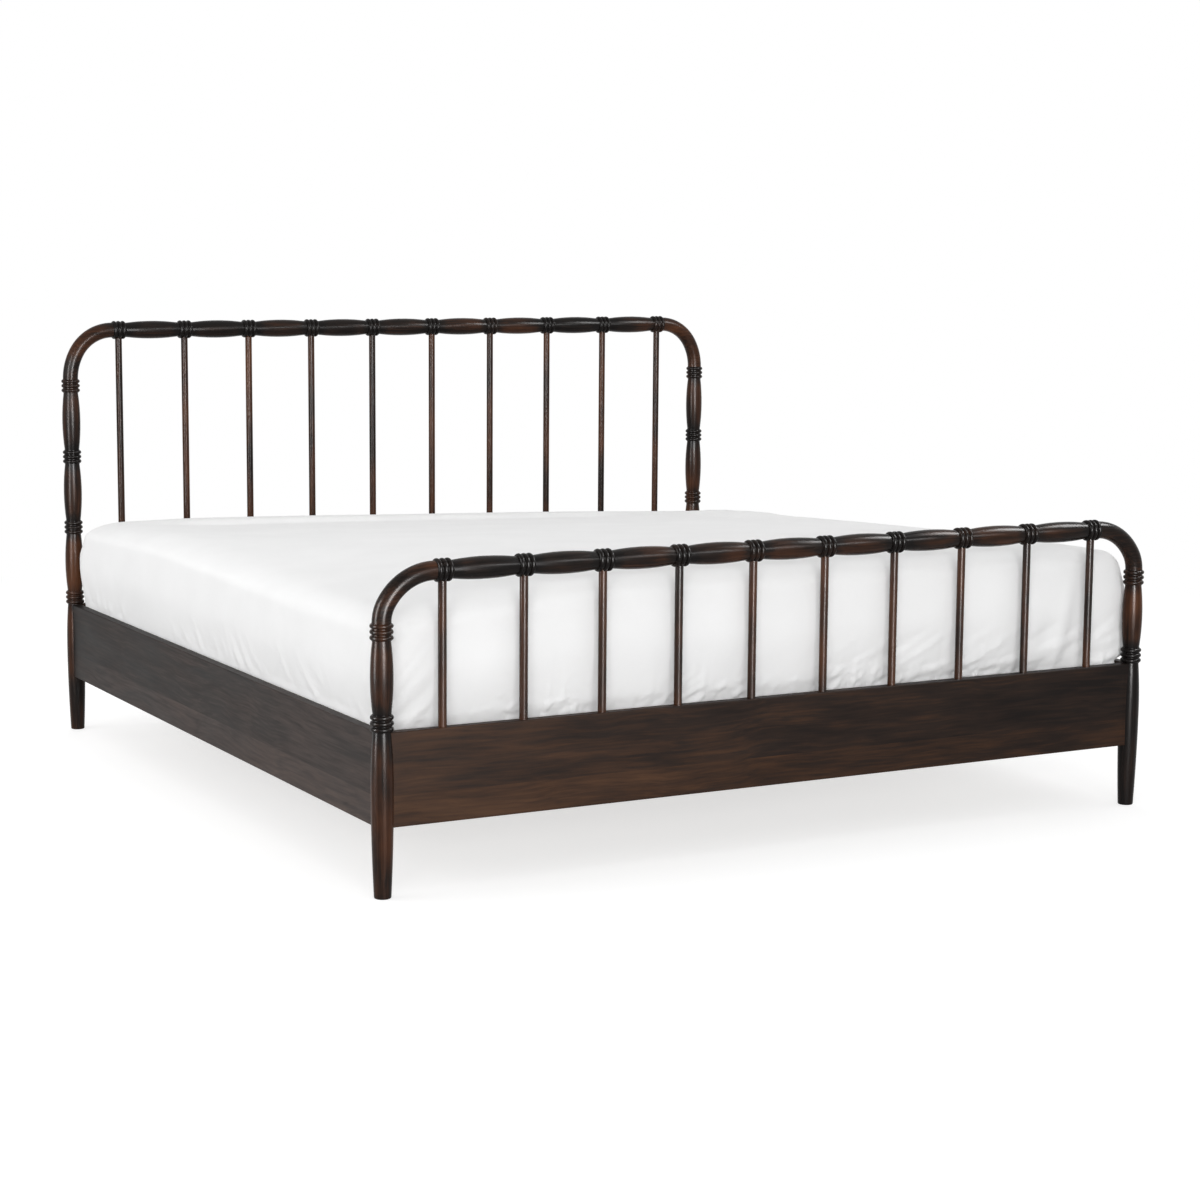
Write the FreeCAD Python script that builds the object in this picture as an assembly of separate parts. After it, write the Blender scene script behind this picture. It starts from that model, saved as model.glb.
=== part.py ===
import FreeCAD, Part
import math
import os

from FreeCAD import Vector

os.makedirs("parts", exist_ok=True)

# King-size spindle bed, millimetres. The origin is on the floor under the middle of the bed,
# +X across the bed, +Y from the foot end to the head end, +Z up.

# Mattress, which the frame is made round, and the room between it and the planks
MATTRESS_WIDTH = 1955.0
MATTRESS_LENGTH = 2024.0
MATTRESS_DEPTH = 303.0
MATTRESS_SIDE_ROOM = 4.5
MATTRESS_END_ROOM = 17.5

# Turned work shared by the posts and the top rails
RING_DIAMETER = 50.0
RING_PITCH = 12.4
RINGS_IN_GROUP = 3
BEAD_HEIGHT = 10.0
GROOVE_DIAMETER = 42.0
NECK_DIAMETER = 39.0
BELLY_DIAMETER = 48.8

# Legs, below the lowest ring group
FOOT_DIAMETER = 37.0
FOOT_EDGE = 3.0
LEG_SWELL_DIAMETER = 48.6
LEG_SWELL_HEIGHT = 240.0

# Ring groups up the posts
LOW_RINGS_HEIGHT = 371.0
HEAD_RING_GROUPS = 4
HEAD_RING_STEP = 194.6
FOOT_RING_GROUPS = 2
FOOT_RING_STEP = 191.0

# Bent elbows between the posts and the top rails
ELBOW_DIAMETER = 41.0
ELBOW_RUN = 119.4
HEAD_ELBOW_RISE = 132.0
FOOT_ELBOW_RISE = 102.2
ELBOW_SPLIT = 30.0

# Round tenons that join post, elbow and top rail
TENON_DIAMETER = 22.0
TENON_LENGTH = 24.0
TENON_CHAMFER = 2.0
SOCKET_SPARE = 1.0
GLUE_CLEARANCE = 0.1

# Spindles
SPINDLES_PER_END = 10
SPINDLE_DIAMETER = 18.5
SPINDLE_SEAT_PLANK = 22.0
SPINDLE_SEAT_RAIL = 30.0

# Planks: head, foot and side rails, housed in the posts
PLANK_THICKNESS = 26.0
PLANK_BOTTOM = 150.0
PLANK_REVEAL = 0.8
PLANK_EDGE = 3.0
HOUSING_WEB = 1.0
HOUSING_CLEARANCE = 0.1

# Slats and what carries them
SLAT_COUNT = 12
SLAT_WIDTH = 90.0
SLAT_THICKNESS = 20.0
SLAT_TOP = 300.0
SLAT_END_GAP = 3.0
SLAT_MARGIN = 35.0
SLAT_EDGE = 2.0
LEDGER_WIDTH = 22.0
LEDGER_HEIGHT = 40.0
LEDGER_MARGIN = 30.0
LEDGER_SCREWS = 6
CENTRE_RAIL_WIDTH = 45.0
CENTRE_RAIL_HEIGHT = 70.0
CENTRE_RAIL_END_GAP = 1.0

# Centre legs and their levellers
CENTRE_LEG_Y = 347.5
CENTRE_LEG_SIDE = 45.0
CENTRE_LEG_CHAMFER = 5.0
CENTRE_LEG_CLEAR = 26.0
LEG_TENON_DIAMETER = 20.0
LEG_TENON_LENGTH = 29.0
PAD_DIAMETER = 44.0
PAD_HEIGHT = 8.0
PAD_EDGE = 2.0
PAD_HUB_DIAMETER = 20.0
PAD_HUB_HEIGHT = 5.0
STUD_DIAMETER = 10.0
STUD_ENGAGED = 30.0
STUD_RUNNING_CLEARANCE = 0.05
STUD_TRAVEL_UP = 10.0

# Steel hardware
PLATE = 3.0
BRACE_SETBACK = 70.0
BRACE_FLANGE = 70.0
BRACE_HEIGHT = 66.0
BRACE_BELOW_LEDGER = 6.0
BRACE_BOLT_PITCH = 34.0
SADDLE_WIDTH = 110.0
SADDLE_DEPTH = 40.0
SADDLE_CHEEK = 36.0
SADDLE_CLEARANCE = 0.3
BOLT_DIAMETER = 8.0
BOLT_REACH = 18.0
BOLT_HEAD_DIAMETER = 16.0
BOLT_HEAD_HEIGHT = 5.0
BOLT_KEY_DIAMETER = 6.0
BOLT_KEY_DEPTH = 3.0
BOLT_HOLE_CLEARANCE = 0.3
SCREW_DIAMETER = 4.0
SCREW_LENGTH = 35.0
SCREW_HEAD_DIAMETER = 8.0
SCREW_HEAD_HEIGHT = 2.5
SCREW_SINK = 3.0
SCREW_CLEARANCE = 0.1
HOLE_SPARE = 1.0

# Form of the mattress, and its fitted sheet
MATTRESS_HEAD_DROP = 50.0
MATTRESS_HEAD_LEAN = 26.0
MATTRESS_CROWN = 14.0
MATTRESS_SIDE_DRAW = 6.0
MATTRESS_PLAN_RADIUS = 40.0
MATTRESS_TOP_RADIUS = 60.0
MATTRESS_LOW_RADIUS = 35.0
MATTRESS_END_SHARE = 0.5
MATTRESS_END_STEPS = 4
MATTRESS_SPANS = 8
SHEET_THICKNESS = 2.2
SHEET_GAP = 0.4
SHEET_HEM = 110.0
REST_GAP = 0.3

# Values worked out from the sizes above, the spans between the centre lines of the posts first
POST_SPAN_X = MATTRESS_WIDTH + 2 * MATTRESS_SIDE_ROOM + PLANK_THICKNESS
POST_SPAN_Y = MATTRESS_LENGTH + 2 * MATTRESS_END_ROOM + PLANK_THICKNESS
RING_GROUP = RING_PITCH * RINGS_IN_GROUP
PLANK_TOP = LOW_RINGS_HEIGHT - RING_GROUP / 2 - PLANK_REVEAL
HOUSING_FLOOR = PLANK_THICKNESS / 2 + HOUSING_WEB
INNER_X = (POST_SPAN_X - PLANK_THICKNESS) / 2
INNER_Y = (POST_SPAN_Y - PLANK_THICKNESS) / 2
HEAD_POST_TOP = LOW_RINGS_HEIGHT + HEAD_RING_STEP * (HEAD_RING_GROUPS - 1) + RING_GROUP / 2
FOOT_POST_TOP = LOW_RINGS_HEIGHT + FOOT_RING_STEP * (FOOT_RING_GROUPS - 1) + RING_GROUP / 2
HEAD_RAIL_AXIS = HEAD_POST_TOP + HEAD_ELBOW_RISE
FOOT_RAIL_AXIS = FOOT_POST_TOP + FOOT_ELBOW_RISE
RAIL_HALF = POST_SPAN_X / 2 - ELBOW_RUN
SPINDLE_PITCH = (2 * RAIL_HALF - RING_GROUP) / (SPINDLES_PER_END - 1)
LEDGER_TOP = SLAT_TOP - SLAT_THICKNESS
BRACE_TOP = LEDGER_TOP - LEDGER_HEIGHT - BRACE_BELOW_LEDGER
BRACE_MIDDLE = BRACE_TOP - BRACE_HEIGHT / 2
CENTRE_RAIL_BOTTOM = LEDGER_TOP - CENTRE_RAIL_HEIGHT
SADDLE_BOLT_X = (CENTRE_RAIL_WIDTH / 2 + PLATE + SADDLE_WIDTH / 2) / 2
SADDLE_BOLT_Z = CENTRE_RAIL_BOTTOM + SADDLE_CHEEK / 2
LEDGER_MIDDLE_X = INNER_X - LEDGER_WIDTH / 2
MATTRESS_BOTTOM = SLAT_TOP + REST_GAP + SHEET_THICKNESS + SHEET_GAP
MATTRESS_TOP = MATTRESS_BOTTOM + MATTRESS_DEPTH

ORIGIN = Vector(0, 0, 0)
ALONG_X = Vector(1, 0, 0)
ALONG_Y = Vector(0, 1, 0)
UP = Vector(0, 0, 1)
SIDES = {"left": -1, "right": 1}
QUARTER_TURN = 90
HALF_TURN = 180
FULL_TURN = 360
COS_45 = math.sqrt(0.5)


def save(name, shape):
    shape.exportStep(f"parts/{name}.step")


def box(low, high):
    """A box between two corners."""
    size = high - low
    return Part.makeBox(size.x, size.y, size.z, low)


def bar(size, centre):
    """A box of a given size about its centre."""
    return box(centre - size / 2, centre + size / 2)


def rod(diameter, base, direction, length):
    return Part.makeCylinder(diameter / 2, length, base, direction)


def eased(solid, radius, direction):
    """Rounds the edges of a squared solid that run along one direction."""
    edges = [e for e in solid.Edges if abs(e.tangentAt(e.FirstParameter).dot(direction)) > COS_45]
    return solid.makeFillet(radius, edges)


def turned(outline):
    """A solid of revolution about Z, whose outline leaves the axis and comes back to it squarely.
    Each step is a line's end (r, z), or an arc's middle point and end (r, z, r, z)."""
    start = Vector(0, 0, outline[0][-1])
    finish = (0, outline[-1][-1])
    here = start
    edges = []
    for step in outline + [finish]:
        end = Vector(step[-2], 0, step[-1])
        if len(step) == 2:
            edges.append(Part.makeLine(here, end))
        else:
            edges.append(Part.Arc(here, Vector(step[0], 0, step[1]), end).toShape())
        here = end
    edges.append(Part.makeLine(here, start))
    return Part.Face(Part.Wire(edges)).revolve(ORIGIN, UP, FULL_TURN)


def swell_arc(narrow_r, narrow_z, wide_r, wide_z, end_r, end_z):
    """An arc step whose widest point has an upright tangent, between a narrow and a wide end."""
    rise = wide_z - narrow_z
    swell = wide_r - narrow_r
    radius = (rise * rise + swell * swell) / (2 * swell)
    half = rise / 2
    middle_r = wide_r - radius + math.sqrt(radius * radius - half * half)
    return (middle_r, wide_z - half, end_r, end_z)


def ring_group(middle):
    """Beads with grooves between them, from the neck below the group to the neck above it."""
    groove = GROOVE_DIAMETER / 2
    steps = [(groove, middle - RING_GROUP / 2)]
    for k in range(RINGS_IN_GROUP):
        bead = middle + (k - (RINGS_IN_GROUP - 1) / 2) * RING_PITCH
        steps.append((groove, bead - BEAD_HEIGHT / 2))
        steps.append((RING_DIAMETER / 2, bead, groove, bead + BEAD_HEIGHT / 2))
    steps.append((groove, middle + RING_GROUP / 2))
    return steps


def belly(low, high):
    """The swelling between two ring groups, from neck to neck."""
    neck = NECK_DIAMETER / 2
    return [(neck, low), (BELLY_DIAMETER / 2, (low + high) / 2, neck, high)]


def ringed_run(first, step, groups):
    """Ring groups at a regular step with a belly between each two."""
    steps = []
    for k in range(groups):
        middle = first + k * step
        steps += ring_group(middle)
        if k < groups - 1:
            steps += belly(middle + RING_GROUP / 2, middle + step - RING_GROUP / 2)
    return steps


def tenon(shoulder, direction):
    """A chamfered round tenon that stands out of a shoulder, upwards or downwards."""
    r = TENON_DIAMETER / 2
    tip = shoulder + direction * TENON_LENGTH
    steps = [(r, shoulder), (r, tip - direction * TENON_CHAMFER), (r - TENON_CHAMFER, tip)]
    return steps if direction > 0 else steps[::-1]


def post(groups, step):
    """A turned post on the Z axis: tapered foot, swelling leg, ring groups, tenon for the elbow."""
    foot = FOOT_DIAMETER / 2
    swell = LEG_SWELL_DIAMETER / 2
    neck = NECK_DIAMETER / 2
    low_neck = LOW_RINGS_HEIGHT - RING_GROUP / 2
    corner = FOOT_EDGE * (1 - COS_45)
    outline = [(foot - FOOT_EDGE, 0), (foot - corner, corner, foot, FOOT_EDGE)]
    outline.append(swell_arc(foot, FOOT_EDGE, swell, LEG_SWELL_HEIGHT, swell, LEG_SWELL_HEIGHT))
    outline.append(swell_arc(neck, low_neck, swell, LEG_SWELL_HEIGHT, neck, low_neck))
    outline += ringed_run(LOW_RINGS_HEIGHT, step, groups)
    top = LOW_RINGS_HEIGHT + (groups - 1) * step + RING_GROUP / 2
    return turned(outline + tenon(top, 1))


def housing(direction):
    """The slot that a plank end fills in a post, opening along X or Y."""
    half = PLANK_THICKNESS / 2 + HOUSING_CLEARANCE
    low = PLANK_BOTTOM - HOUSING_CLEARANCE
    high = PLANK_TOP + HOUSING_CLEARANCE
    across = Vector(abs(direction.y), abs(direction.x), 0) * half
    inner = direction * HOUSING_FLOOR
    outer = direction * RING_DIAMETER
    lows = [min(a, b) for a, b in zip(inner, outer)]
    highs = [max(a, b) for a, b in zip(inner, outer)]
    return box(Vector(*lows) - across + UP * low, Vector(*highs) + across + UP * high)


def post_at(groups, step, side, end):
    """A post at its corner, with housings for its end plank and its side rail."""
    solid = post(groups, step)
    solid = solid.cut(housing(ALONG_X * -side)).cut(housing(ALONG_Y * -end))
    solid.translate(Vector(side * POST_SPAN_X / 2, end * POST_SPAN_Y / 2, 0))
    return solid


def elbow(rise):
    """A bent tube of wood from upright at the origin to level towards +X. It turns through two
    tangent arcs, so that its run and rise can differ, and has a socket at each end."""
    turn = math.radians(ELBOW_SPLIT)
    c = math.cos(turn)
    s = math.sin(turn)
    share = 1 - c - s
    low_radius = (ELBOW_RUN * (1 - s) - rise * c) / share
    high_radius = (rise * (1 - c) - ELBOW_RUN * s) / share
    disc = Part.Face(Part.Wire(Part.makeCircle(ELBOW_DIAMETER / 2, ORIGIN, UP)))
    lower = disc.revolve(ALONG_X * low_radius, ALONG_Y, ELBOW_SPLIT)
    joint = Vector(low_radius * (1 - c), 0, low_radius * s)
    slanted = Part.Face(Part.Wire(Part.makeCircle(ELBOW_DIAMETER / 2, joint, Vector(s, 0, c))))
    centre = joint + Vector(c, 0, -s) * high_radius
    upper = slanted.revolve(centre, ALONG_Y, QUARTER_TURN - ELBOW_SPLIT)
    bore = TENON_DIAMETER + 2 * GLUE_CLEARANCE
    depth = TENON_LENGTH + SOCKET_SPARE
    low_socket = rod(bore, ORIGIN, UP, depth)
    high_socket = rod(bore, Vector(ELBOW_RUN, 0, rise), ALONG_X * -1, depth)
    return lower.fuse(upper).removeSplitter().cut(low_socket).cut(high_socket)


def elbow_at(rise, post_top, side, end):
    solid = elbow(rise)
    if side > 0:
        solid.rotate(ORIGIN, UP, HALF_TURN)
    solid.translate(Vector(side * POST_SPAN_X / 2, end * POST_SPAN_Y / 2, post_top))
    return solid


def spindle_places():
    first = -RAIL_HALF + RING_GROUP / 2
    return [first + k * SPINDLE_PITCH for k in range(SPINDLES_PER_END)]


def spindle_socket(x, end, low, depth):
    bore = SPINDLE_DIAMETER + 2 * GLUE_CLEARANCE
    return rod(bore, Vector(x, end * POST_SPAN_Y / 2, low), UP, depth)


def spindle_top(axis):
    """How high a spindle reaches into the rings of its top rail."""
    return axis - RING_DIAMETER / 2 + SPINDLE_SEAT_RAIL


def top_rail(axis, end):
    """A turned rail along X with a ring group over each spindle, and a tenon at each end."""
    first = -RAIL_HALF + RING_GROUP / 2
    outline = tenon(-RAIL_HALF, -1)
    outline += ringed_run(first, SPINDLE_PITCH, SPINDLES_PER_END)
    solid = turned(outline + tenon(RAIL_HALF, 1))
    solid.rotate(ORIGIN, ALONG_Y, QUARTER_TURN)
    solid.translate(Vector(0, end * POST_SPAN_Y / 2, axis))
    low = axis - RING_DIAMETER
    depth = spindle_top(axis) + SOCKET_SPARE - low
    for x in spindle_places():
        solid = solid.cut(spindle_socket(x, end, low, depth))
    return solid


def spindle(x, axis, end):
    low = PLANK_TOP - SPINDLE_SEAT_PLANK
    base = Vector(x, end * POST_SPAN_Y / 2, low)
    return rod(SPINDLE_DIAMETER, base, UP, spindle_top(axis) - low)


def plank(length, direction, place):
    """A board on edge between two housings, its long edges eased."""
    across = Vector(direction.y, direction.x, 0) * PLANK_THICKNESS
    height = PLANK_TOP - PLANK_BOTTOM
    middle = place + UP * (PLANK_TOP + PLANK_BOTTOM) / 2
    return eased(bar(direction * length + across + UP * height, middle), PLANK_EDGE, direction)


def plank_length(span):
    return span - 2 * (HOUSING_FLOOR + HOUSING_CLEARANCE)


def bolt_hole(base, direction):
    """A blind hole for a bracket bolt, from a face into the wood behind it."""
    return rod(BOLT_DIAMETER + BOLT_HOLE_CLEARANCE, base, direction, BOLT_REACH + HOLE_SPARE)


def brace_heights():
    return [BRACE_MIDDLE - BRACE_BOLT_PITCH / 2, BRACE_MIDDLE + BRACE_BOLT_PITCH / 2]


def brace_bolts(side, end):
    """Seat and direction of the bolts of one corner brace: two in the side rail, two in the plank."""
    reach = BRACE_SETBACK + BRACE_FLANGE / 2
    bolts = []
    for z in brace_heights():
        bolts.append((Vector(side * INNER_X, end * (INNER_Y - reach), z), ALONG_X * side))
        bolts.append((Vector(side * (INNER_X - reach), end * INNER_Y, z), ALONG_Y * end))
    return bolts


def saddle_bolts(end):
    places = [Vector(x, end * INNER_Y, SADDLE_BOLT_Z) for x in (-SADDLE_BOLT_X, SADDLE_BOLT_X)]
    return [(place, ALONG_Y * end) for place in places]


def end_plank(end):
    """The plank between two posts, bored for its spindles and for the brackets behind it."""
    solid = plank(plank_length(POST_SPAN_X), ALONG_X, ALONG_Y * end * POST_SPAN_Y / 2)
    for x in spindle_places():
        low = PLANK_TOP - SPINDLE_SEAT_PLANK
        solid = solid.cut(spindle_socket(x, end, low, SPINDLE_SEAT_PLANK + HOLE_SPARE))
    bolts = saddle_bolts(end)
    for side in SIDES.values():
        bolts += [b for b in brace_bolts(side, end) if b[1].y]
    for base, direction in bolts:
        solid = solid.cut(bolt_hole(base, direction))
    return solid


def slat_places():
    reach = INNER_Y - SLAT_MARGIN - SLAT_WIDTH / 2
    step = 2 * reach / (SLAT_COUNT - 1)
    return [-reach + k * step for k in range(SLAT_COUNT)]


def ledger_screw_places():
    """Screws along a ledger, each midway between two slats."""
    slats = slat_places()
    gaps = [(a + b) / 2 for a, b in zip(slats, slats[1:])]
    last = len(gaps) - 1
    picked = sorted({round(k * last / (LEDGER_SCREWS - 1)) for k in range(LEDGER_SCREWS)})
    return [gaps[k] for k in picked]


def screw(seat, direction):
    """A pan-head wood screw whose head sits on its seat."""
    shank = rod(SCREW_DIAMETER, seat, direction, SCREW_LENGTH - SCREW_HEAD_HEIGHT)
    head = rod(SCREW_HEAD_DIAMETER, seat, direction * -1, SCREW_HEAD_HEIGHT)
    return shank.fuse(head).removeSplitter()


def screw_hole(seat, direction):
    """A pilot hole with a counterbore that hides the head."""
    bore = SCREW_DIAMETER + 2 * SCREW_CLEARANCE
    shank = rod(bore, seat, direction, SCREW_LENGTH - SCREW_HEAD_HEIGHT + HOLE_SPARE)
    head = rod(SCREW_HEAD_DIAMETER + 2 * SCREW_CLEARANCE, seat, direction * -1, SCREW_SINK)
    return shank.fuse(head)


def ledger_screws(side):
    x = side * (INNER_X - LEDGER_WIDTH + SCREW_SINK)
    z = LEDGER_TOP - LEDGER_HEIGHT / 2
    return [(Vector(x, y, z), ALONG_X * side) for y in ledger_screw_places()]


def slat_screws(y):
    z = SLAT_TOP - SCREW_SINK
    return [(Vector(side * LEDGER_MIDDLE_X, y, z), UP * -1) for side in SIDES.values()]


def side_rail(side):
    """A side plank, bored for its ledger screws and for the corner braces."""
    solid = plank(plank_length(POST_SPAN_Y), ALONG_Y, ALONG_X * side * POST_SPAN_X / 2)
    for end in (-1, 1):
        for base, direction in brace_bolts(side, end):
            if direction.x:
                solid = solid.cut(bolt_hole(base, direction))
    for seat, direction in ledger_screws(side):
        solid = solid.cut(screw_hole(seat, direction))
    return solid


def ledger(side):
    """The batten along a side rail that the slat ends rest on."""
    length = 2 * (INNER_Y - LEDGER_MARGIN)
    centre = Vector(side * LEDGER_MIDDLE_X, 0, LEDGER_TOP - LEDGER_HEIGHT / 2)
    solid = bar(Vector(LEDGER_WIDTH, length, LEDGER_HEIGHT), centre)
    screws = ledger_screws(side)
    for y in slat_places():
        screws += slat_screws(y)
    for seat, direction in screws:
        solid = solid.cut(screw_hole(seat, direction))
    return solid


def slat(y):
    length = 2 * (INNER_X - SLAT_END_GAP)
    centre = Vector(0, y, SLAT_TOP - SLAT_THICKNESS / 2)
    solid = eased(bar(Vector(length, SLAT_WIDTH, SLAT_THICKNESS), centre), SLAT_EDGE, ALONG_X)
    for seat, direction in slat_screws(y):
        solid = solid.cut(screw_hole(seat, direction))
    return solid


def centre_rail():
    """The beam under the middle of the slats, seated in a saddle at each end."""
    length = 2 * (INNER_Y - PLATE - CENTRE_RAIL_END_GAP)
    centre = UP * (LEDGER_TOP - CENTRE_RAIL_HEIGHT / 2)
    solid = bar(Vector(CENTRE_RAIL_WIDTH, length, CENTRE_RAIL_HEIGHT), centre)
    bore = LEG_TENON_DIAMETER + 2 * GLUE_CLEARANCE
    for end in (-1, 1):
        base = Vector(0, end * CENTRE_LEG_Y, CENTRE_RAIL_BOTTOM)
        solid = solid.cut(rod(bore, base, UP, LEG_TENON_LENGTH + SOCKET_SPARE))
    return solid


def centre_leg(end):
    """A square leg with a round tenon at its top and a threaded bore at its foot."""
    place = ALONG_Y * end * CENTRE_LEG_Y
    height = CENTRE_RAIL_BOTTOM - CENTRE_LEG_CLEAR
    middle = place + UP * (CENTRE_LEG_CLEAR + height / 2)
    solid = bar(Vector(CENTRE_LEG_SIDE, CENTRE_LEG_SIDE, height), middle)
    solid = eased(solid, CENTRE_LEG_CHAMFER, UP)
    top = place + UP * CENTRE_RAIL_BOTTOM
    solid = solid.fuse(rod(LEG_TENON_DIAMETER, top, UP, LEG_TENON_LENGTH))
    bore = STUD_DIAMETER + 2 * STUD_RUNNING_CLEARANCE
    depth = STUD_ENGAGED + STUD_TRAVEL_UP + HOLE_SPARE
    return solid.cut(rod(bore, place + UP * CENTRE_LEG_CLEAR, UP, depth))


def leveller(end):
    """A screw-in glide: pad on the floor, hub and stud, turned about its own axis."""
    pad = PAD_DIAMETER / 2
    hub = PAD_HUB_DIAMETER / 2
    stud = STUD_DIAMETER / 2
    shoulder = PAD_HEIGHT + PAD_HUB_HEIGHT
    tip = CENTRE_LEG_CLEAR + STUD_ENGAGED
    corner = PAD_EDGE * (1 - COS_45)
    outline = [(pad, 0), (pad, PAD_HEIGHT - PAD_EDGE)]
    outline.append((pad - corner, PAD_HEIGHT - corner, pad - PAD_EDGE, PAD_HEIGHT))
    outline += [(hub, PAD_HEIGHT), (hub, shoulder), (stud, shoulder), (stud, tip)]
    solid = turned(outline)
    solid.translate(ALONG_Y * end * CENTRE_LEG_Y)
    return solid


def corner_brace(side, end):
    """A bent steel plate across the inside of a corner, in front of the post."""
    miter = PLATE * math.tan(math.pi / 8)
    far = BRACE_SETBACK + BRACE_FLANGE
    outline = [(0, far), (0, BRACE_SETBACK), (BRACE_SETBACK, 0), (far, 0)]
    outline += [(far, PLATE), (BRACE_SETBACK + miter, PLATE)]
    outline += [(PLATE, BRACE_SETBACK + miter), (PLATE, far)]
    low = BRACE_TOP - BRACE_HEIGHT
    points = [Vector(side * (INNER_X - a), end * (INNER_Y - b), low) for a, b in outline]
    solid = Part.Face(Part.makePolygon(points + points[:1])).extrude(UP * BRACE_HEIGHT)
    for base, direction in brace_bolts(side, end):
        solid = solid.cut(bolt_hole(base - direction * PLATE, direction))
    return solid


def saddle(end):
    """A steel seat on an end plank that carries the centre rail."""
    half = CENTRE_RAIL_WIDTH / 2 + SADDLE_CLEARANCE
    low = CENTRE_RAIL_BOTTOM - PLATE
    high = CENTRE_RAIL_BOTTOM + SADDLE_CHEEK
    back = box(Vector(-SADDLE_WIDTH / 2, -PLATE, low), Vector(SADDLE_WIDTH / 2, 0, high))
    seat = box(Vector(-half - PLATE, -SADDLE_DEPTH, low), Vector(half + PLATE, 0, low + PLATE))
    left = box(Vector(-half - PLATE, -SADDLE_DEPTH, low), Vector(-half, 0, high))
    right = box(Vector(half, -SADDLE_DEPTH, low), Vector(half + PLATE, 0, high))
    solid = back.multiFuse([seat, left, right]).removeSplitter()
    if end < 0:
        solid.rotate(ORIGIN, UP, HALF_TURN)
    solid.translate(ALONG_Y * end * INNER_Y)
    for base, direction in saddle_bolts(end):
        solid = solid.cut(bolt_hole(base - direction * PLATE, direction))
    return solid


def bolt(seat, direction):
    """A round-head bolt with a key socket, through a plate whose far face is at its seat."""
    top = seat - direction * PLATE
    shank = rod(BOLT_DIAMETER, top, direction, PLATE + BOLT_REACH)
    head = rod(BOLT_HEAD_DIAMETER, top, direction * -1, BOLT_HEAD_HEIGHT)
    key = rod(BOLT_KEY_DIAMETER, top - direction * BOLT_HEAD_HEIGHT, direction, BOLT_KEY_DEPTH)
    return shank.fuse(head).removeSplitter().cut(key)


def rounded_section(y, half_width, low, high, lean, low_radius, high_radius):
    """One cross-section of the mattress: flat bottom, upright sides and a crowned top that leans
    down to the right."""
    def at(x, z):
        return Vector(x, y, z)

    def corner(x, z, radius, across, up):
        """A quarter arc that starts at the end of one side and ends at the start of the next."""
        start = at(x + across[0] * radius, z + up[0] * radius)
        end = at(x + across[1] * radius, z + up[1] * radius)
        inset = radius * (1 - COS_45)
        signs = (across[0] + across[1], up[0] + up[1])
        return Part.Arc(start, at(x + signs[0] * inset, z + signs[1] * inset), end).toShape()

    w = half_width
    right = high - lean
    left = high + lean
    low_right = corner(w, low, low_radius, (-1, 0), (0, 1))
    high_right = corner(w, right, high_radius, (0, -1), (-1, 0))
    high_left = corner(-w, left, high_radius, (1, 0), (0, -1))
    low_left = corner(-w, low, low_radius, (0, 1), (1, 0))
    flat = w - low_radius
    shoulder = w - high_radius
    crest = at(0, high + MATTRESS_CROWN)
    crown = Part.Arc(at(shoulder, right), crest, at(-shoulder, left)).toShape()
    return Part.Wire([
        Part.makeLine(at(-flat, low), at(flat, low)),
        low_right,
        Part.makeLine(at(w, low + low_radius), at(w, right - high_radius)),
        high_right,
        crown,
        high_left,
        Part.makeLine(at(-w, left - high_radius), at(-w, low + low_radius)),
        low_left,
    ])


def mattress_sections(grow):
    """Where the mattress is cut: y, and how far its sides, top and bottom are drawn in there,
    as the cosine of a quarter turn that rounds each end."""
    half = MATTRESS_LENGTH / 2 + grow
    radius = MATTRESS_PLAN_RADIUS + grow
    straight = half - radius
    quarter = [math.pi / 2 * k / MATTRESS_END_STEPS for k in range(MATTRESS_END_STEPS, 0, -1)]
    foot = [(-straight - radius * math.sin(t), math.cos(t)) for t in quarter]
    middle = [(straight * (2 * k / MATTRESS_SPANS - 1), 1) for k in range(MATTRESS_SPANS + 1)]
    head = [(-y, c) for y, c in reversed(foot)]
    return foot + middle + head


def mattress_form(grow):
    """The mattress, grown evenly all round: rounded ends with tighter corners, sides drawn in
    between the corners, and a crowned top that falls towards the head, further on the right."""
    radius = MATTRESS_PLAN_RADIUS + grow
    wires = []
    for y, c in mattress_sections(grow):
        along = y / MATTRESS_LENGTH + 0.5
        fall = MATTRESS_HEAD_DROP * along * abs(along)
        lean = MATTRESS_HEAD_LEAN * along * abs(along)
        draw = MATTRESS_SIDE_DRAW * math.cos(math.pi * y / MATTRESS_LENGTH) ** 2
        half_width = MATTRESS_WIDTH / 2 + grow - draw - radius * (1 - c)
        high = MATTRESS_TOP + grow - fall - (MATTRESS_TOP_RADIUS + grow) * (1 - c)
        low = MATTRESS_BOTTOM - grow + (MATTRESS_LOW_RADIUS + grow) * (1 - c)
        share = MATTRESS_END_SHARE + (1 - MATTRESS_END_SHARE) * c
        radii = ((MATTRESS_LOW_RADIUS + grow) * share, (MATTRESS_TOP_RADIUS + grow) * share)
        wires.append(rounded_section(y, half_width, low, high, lean, *radii))
    return Part.makeLoft(wires, True, True)


def fitted_sheet():
    """A cloth skin over the mattress, open below inside its hem."""
    outer = mattress_form(SHEET_GAP + SHEET_THICKNESS)
    inner = mattress_form(SHEET_GAP)
    reach = Vector(MATTRESS_WIDTH / 2 - SHEET_HEM, MATTRESS_LENGTH / 2 - SHEET_HEM, 0)
    low = MATTRESS_BOTTOM - SHEET_GAP - SHEET_THICKNESS
    mouth = box(reach * -1 + UP * (low - REST_GAP), reach + UP * (MATTRESS_BOTTOM + SHEET_HEM))
    return outer.cut(inner).cut(mouth)


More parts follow.
